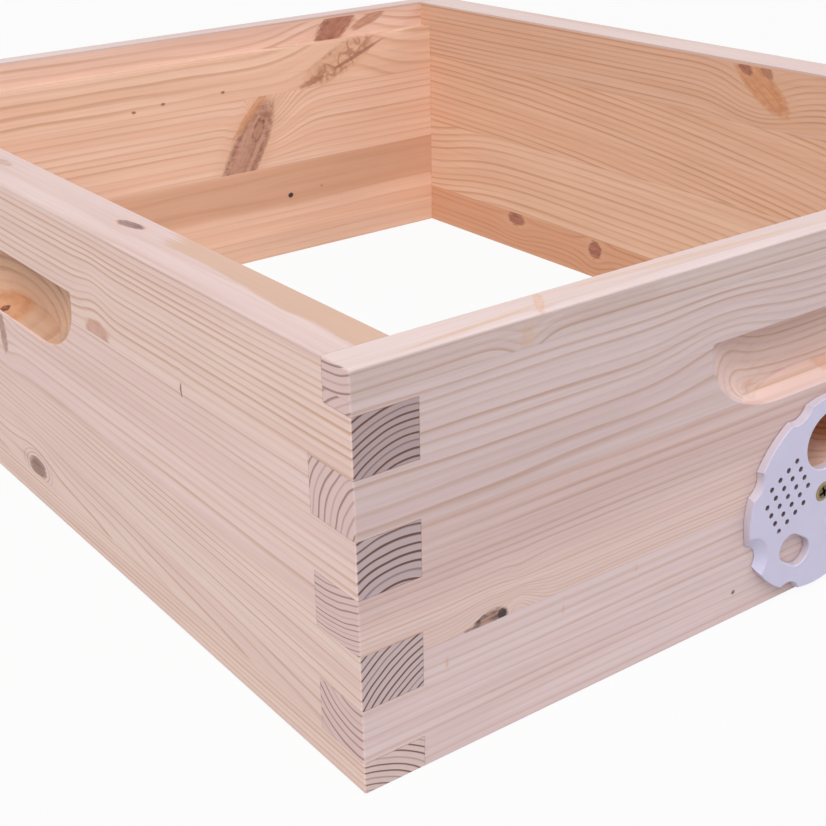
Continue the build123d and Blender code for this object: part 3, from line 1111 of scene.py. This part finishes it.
pivot = Vector(frame["joints"][0]["pos_m"]) * MM
print("disc turns at", [round(value, 2) for value in pivot])

# %% Disc plastic
AIR_ANGLE = math.radians(167.4)
AIR_OFFSET = 21.2
AIR_REACH, AIR_FADE = 15.0, 0.5
SKIN_CELLS, CLOUD_CELLS = 1.6, 0.08
FACE_TILT = (0.3, 0.8)
FACE_LOW, FACE_HIGH = srgb(200, 196, 223), srgb(208, 204, 231)
# Painted shade and reflection on the edges, and painted shade in the air holes
EDGE_SHADE_AND_REFLECTION, AIR_HOLE_PAINTED_SHADE = srgb(196, 186, 198), srgb(128, 114, 118)
SATIN, SKIN_ROUGHNESS, SKIN_METRES = 0.28, 0.12, 0.00002

plastic = new_finish("disc_plastic")
place = plastic.place()
skin = plastic.noise(plastic.scaled(place, SKIN_CELLS), detail=3.0)
cloud = plastic.noise(plastic.scaled(place, CLOUD_CELLS))
air_middle = pivot + AIR_OFFSET * Vector((math.cos(AIR_ANGLE), 0, math.sin(AIR_ANGLE)))
in_air_hole = 1 - from_axis(plastic, place, air_middle).rise(AIR_REACH - AIR_FADE, AIR_REACH)
# the edges' painted shade and reflection, with painted shade in the air holes
edge = plastic.mix(in_air_hole, EDGE_SHADE_AND_REFLECTION, AIR_HOLE_PAINTED_SHADE)
on_face = plastic.facing()[1].abs().rise(*FACE_TILT)
plastic.set(Base_Color=plastic.mix(on_face, edge, plastic.mix(cloud, FACE_LOW, FACE_HIGH)))
plastic.set(Roughness=SATIN + SKIN_ROUGHNESS * skin)
plastic.bump(skin, SKIN_METRES)
plastic.paint("entrance_disc")
print("disc plastic", len(plastic.tree.nodes), "shader nodes")

# %% [markdown]
# ## Screw
# A yellow-passivated countersunk screw. A painted shade darkens its head towards
# the recess, so that it is bright only in a ring near the edge. Full metal with a
# noise in colour and roughness gives the worn coat.

# %% Screw metal
# Radii over which the painted shade round the recess fades out, and its strength
RECESS_SHADE_EDGE = (2.4, 3.3)
RECESS_PAINTED_SHADE = 0.45
TARNISH_CELLS = 0.8
COAT_LOW, COAT_HIGH = srgb(132, 114, 82), srgb(176, 158, 120)
COAT_ROUGHNESS, TARNISH_ROUGHNESS = 0.26, 0.16

metal = new_finish("screw_brass")
place = metal.place()
tarnish = metal.noise(metal.scaled(place, TARNISH_CELLS), detail=3.0)
# ring is 1 outside the painted shade round the recess
ring = from_axis(metal, place, pivot).rise(*RECESS_SHADE_EDGE)
coat = metal.mix(tarnish, COAT_LOW, COAT_HIGH)
metal.set(Base_Color=metal.mix(ring, metal.scaled(coat, RECESS_PAINTED_SHADE), coat))
metal.set(Metallic=1.0, Roughness=COAT_ROUGHNESS + TARNISH_ROUGHNESS * tarnish)
metal.paint("disc_screw")
print("screw metal", len(metal.tree.nodes), "shader nodes")

# %% [markdown]
# ## Floor
# The box stands on plain white. A white floor under strong lamps would throw
# light back and wash the wood out. So the floor is a mid grey to the object, and
# mostly a white glow to the camera and to reflections, which Light Path tells
# apart. The rest of it still takes the soft shadow.

# %% Floor sheet
FLOOR_SIZE = 12.0
FLOOR_GLOW = 0.93
FLOOR_GREY = (0.55, 0.55, 0.55, 1.0)
FLOOR_ROUGHNESS = 0.9

sheet = bmesh.new()
bmesh.ops.create_grid(sheet, x_segments=1, y_segments=1, size=FLOOR_SIZE / 2)
mesh = bpy.data.meshes.new("floor")
sheet.to_mesh(mesh)
sheet.free()
floor = bpy.data.objects.new("floor", mesh)
bpy.context.scene.collection.objects.link(floor)

ground = new_finish("floor_white")
ground.set(Base_Color=FLOOR_GREY, Roughness=FLOOR_ROUGHNESS)
glow = ground.node("ShaderNodeEmission", None, {"Color": PLAIN, "Strength": 1.0})
lit = Field(ground, ground.shader.outputs[0])
inputs = {0: ground.in_view() * FLOOR_GLOW, 1: lit, 2: glow}
both = ground.node("ShaderNodeMixShader", None, inputs)
ground.feed(ground.tree.nodes["Material Output"].inputs["Surface"], both)
mesh.materials.append(ground.owner)
print("floor", FLOOR_SIZE, "m wide")

# %% [markdown]
# ## Sky and lamps
# The studio light is soft, with the left side brighter than the front. A sky
# alone would light both the same. It is kept weak and slightly cool, and looks
# white only to the camera and to reflections. A large soft box above the left
# front corner is the key light, a weak one fills from the right, and a low one
# behind lights the back. That one has no glare, since it would mirror in the rim.

# %% Sky
SKY_STRENGTH = 0.41
SKY_COLOUR = (0.985, 0.99, 1.02, 1.0)

sky = Finish(bpy.data.worlds.new("studio"), "Background")
white = sky.in_view()
sky.set(Color=sky.mix(white, SKY_COLOUR, PLAIN))
sky.set(Strength=SKY_STRENGTH + (1 - SKY_STRENGTH) * white)
bpy.context.scene.world = sky.owner
print("sky", SKY_STRENGTH)

# %% Lamps
LAMP_COLOUR = (1.0, 0.985, 0.955)
LAMP_TARGET = Vector((0, 0, 0.1))


def lamp(name, place, size, watts, glare=True):
    """A square soft box that looks at the object."""
    light = bpy.data.lights.new(name, "AREA")
    light.size = size
    light.energy = watts
    light.color = LAMP_COLOUR
    soft_box = bpy.data.objects.new(name, light)
    soft_box.location = place
    soft_box.rotation_euler = (LAMP_TARGET - Vector(place)).to_track_quat("-Z", "Y").to_euler()
    soft_box.visible_glossy = glare
    bpy.context.scene.collection.objects.link(soft_box)
    print("lamp", name, watts, "W")


lamp("key", place=(-1.50, -1.22, 2.60), size=2.2, watts=84)
lamp("fill", place=(2.2, -1.1, 1.7), size=1.6, watts=21)
lamp("back", place=(0.6, 2.5, 0.9), size=1.6, watts=12, glare=False)

# %% [markdown]
# ## Camera
# The camera stands close, above the left front corner, and the picture is cut
# from a larger one, so the middle of its lens is beside the middle of the frame.
# Placed by eye, it would miss some of the edges. Its place, turn, lens and shift
# come from a fit to the edges of the box in the photograph.

# %% Lens
IMAGE = 826.0
FOCAL_PIXELS = 1435.4
CENTRE_PIXEL = (365.48, 459.29)
SENSOR = 36.0
CLIP_START = 0.01

lens = bpy.data.cameras.new("camera")
lens.sensor_width = SENSOR
lens.lens = SENSOR * FOCAL_PIXELS / IMAGE
lens.shift_x = (IMAGE / 2 - CENTRE_PIXEL[0]) / IMAGE
lens.shift_y = (CENTRE_PIXEL[1] - IMAGE / 2) / IMAGE
lens.clip_start = CLIP_START
print("lens", round(lens.lens, 2), "mm")

# %% Place and turn
CAMERA_PLACE = Vector((-0.41503, -0.5618, 0.30113))
AZIMUTH = math.radians(-34.148)
ELEVATION = math.radians(26.258)
ROLL = math.radians(-2.014)

forward = Vector((
    -math.sin(AZIMUTH) * math.cos(ELEVATION),
    math.cos(AZIMUTH) * math.cos(ELEVATION),
    -math.sin(ELEVATION),
))
level = Vector((math.cos(AZIMUTH), math.sin(AZIMUTH), 0.0))
upright = level.cross(forward)
to_right = level * math.cos(ROLL) + upright * math.sin(ROLL)
to_top = upright * math.cos(ROLL) - level * math.sin(ROLL)
turn = Matrix((to_right, to_top, -forward)).transposed().to_4x4()
camera = bpy.data.objects.new("camera", lens)
camera.matrix_world = Matrix.Translation(CAMERA_PLACE) @ turn
bpy.context.scene.collection.objects.link(camera)
bpy.context.scene.camera = camera
bpy.context.scene.view_settings.view_transform = "Standard"
print("camera", round(CAMERA_PLACE.length, 3), "m from the middle of the box")
